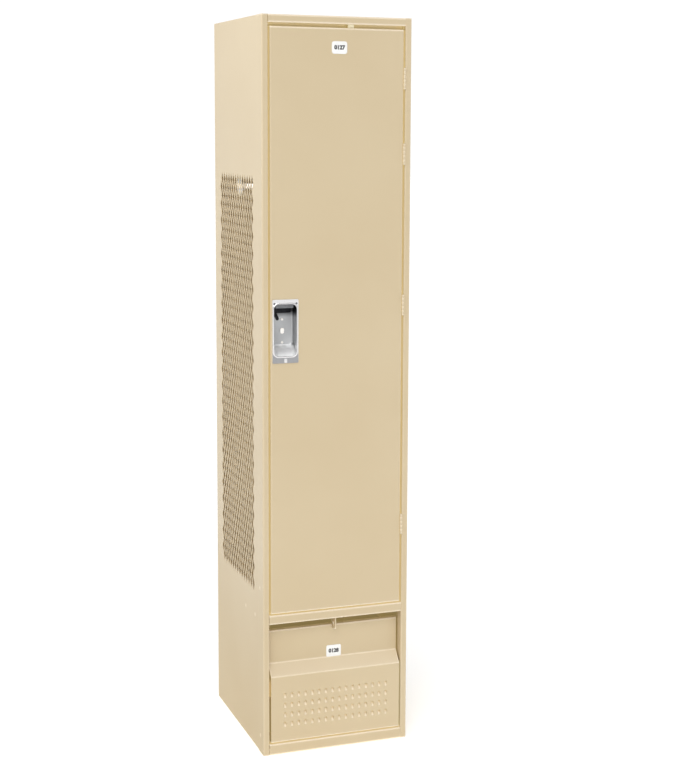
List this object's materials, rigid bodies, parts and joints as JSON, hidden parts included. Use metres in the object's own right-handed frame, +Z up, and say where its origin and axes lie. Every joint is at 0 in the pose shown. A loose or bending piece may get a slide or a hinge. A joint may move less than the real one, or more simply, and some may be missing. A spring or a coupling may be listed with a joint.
{
  "type": "locker",
  "caption": "Tall narrow steel locker with a flat hinged door, recessed lift handle, diamond-vented sides, hat shelf, coat rail and a pull-out drawer below",
  "frame": {"origin": "middle of the base, on the floor", "axes": "+Z up, +X to the right seen from the front, -Y out of the door"},
  "size_m": [0.381, 0.4572, 1.8288],
  "materials": {
    "tan_enamel": "satin powder coat",
    "stainless_steel": "brushed",
    "zinc_plate": "bright zinc plate",
    "white_plate": "white, satin",
    "dark_steel": "dark satin",
    "beige_rubber": "matt"
  },
  "bodies": {
    "cabinet": {"left_jamb": "tan_enamel", "right_jamb": "tan_enamel", "header": "tan_enamel", "cross_rail": "tan_enamel", "sill": "tan_enamel", "left_side_panel": "tan_enamel", "right_side_panel": "tan_enamel", "back_panel": "tan_enamel", "top_panel": "tan_enamel", "bottom_panel": "tan_enamel", "hat_shelf": "tan_enamel", "compartment_floor": "tan_enamel", "door_bumper": "beige_rubber", "padlock_plate": "tan_enamel", "coat_rod": "zinc_plate", "coat_rod_socket_left": "zinc_plate", "coat_rod_socket_right": "zinc_plate", "lower_latch_catch": "zinc_plate", "middle_latch_catch": "zinc_plate", "upper_latch_catch": "zinc_plate", "runner_bracket_left": "tan_enamel", "runner_bracket_right": "tan_enamel", "cabinet_runner_left": "zinc_plate", "cabinet_runner_right": "zinc_plate", "hinge_frame_leaf_1": "tan_enamel", "hinge_frame_leaf_2": "tan_enamel", "hinge_frame_leaf_3": "tan_enamel", "hinge_frame_leaf_4": "tan_enamel", "hinge_pin_1": "zinc_plate", "hinge_pin_2": "zinc_plate", "hinge_pin_3": "zinc_plate", "hinge_pin_4": "zinc_plate"},
    "door": {"door_skin": "tan_enamel", "door_stiffener": "tan_enamel", "hinge_door_leaf_1": "tan_enamel", "hinge_door_leaf_2": "tan_enamel", "hinge_door_leaf_3": "tan_enamel", "hinge_door_leaf_4": "tan_enamel", "handle_pocket": "stainless_steel", "handle_rivet_left": "stainless_steel", "handle_rivet_right": "stainless_steel", "lock_hole_cover": "zinc_plate", "lock_screw_lower": "zinc_plate", "lock_screw_upper": "zinc_plate", "lower_latch_guide": "zinc_plate", "upper_latch_guide": "zinc_plate", "door_number_plate": "white_plate"},
    "latch": {"finger_lift": "dark_steel", "latch_bar": "zinc_plate"},
    "drawer": {"drawer_front": "tan_enamel", "drawer_tray": "tan_enamel", "drawer_runner_left": "zinc_plate", "drawer_runner_right": "zinc_plate", "drawer_number_plate": "white_plate"},
    "middle_runners": {"middle_runner_left": "zinc_plate", "middle_runner_right": "zinc_plate"}
  },
  "joints": [
    {"name": "door_hinge", "type": "hinge", "parent": "cabinet", "child": "door", "pos_m": [0.1725, -0.2256, 0.3638], "axis": [0, 0, 1], "range_deg": [0, 120]},
    {"name": "latch_lift", "type": "slide", "parent": "door", "child": "latch", "axis": [0, 0, 1], "range_m": [0, 0.009], "stiffness_N_per_m": 100, "springref_m": -0.05},
    {"name": "drawer_travel", "type": "slide", "parent": "cabinet", "child": "drawer", "axis": [0, -1, 0], "range_m": [0, 0.36]},
    {"name": "runner_travel", "type": "slide", "parent": "cabinet", "child": "middle_runners", "axis": [0, -1, 0], "range_m": [0, 0.18]}
  ],
  "couplings": [
    {"joint": "runner_travel", "follows": "drawer_travel", "ratio": 0.5}
  ]
}
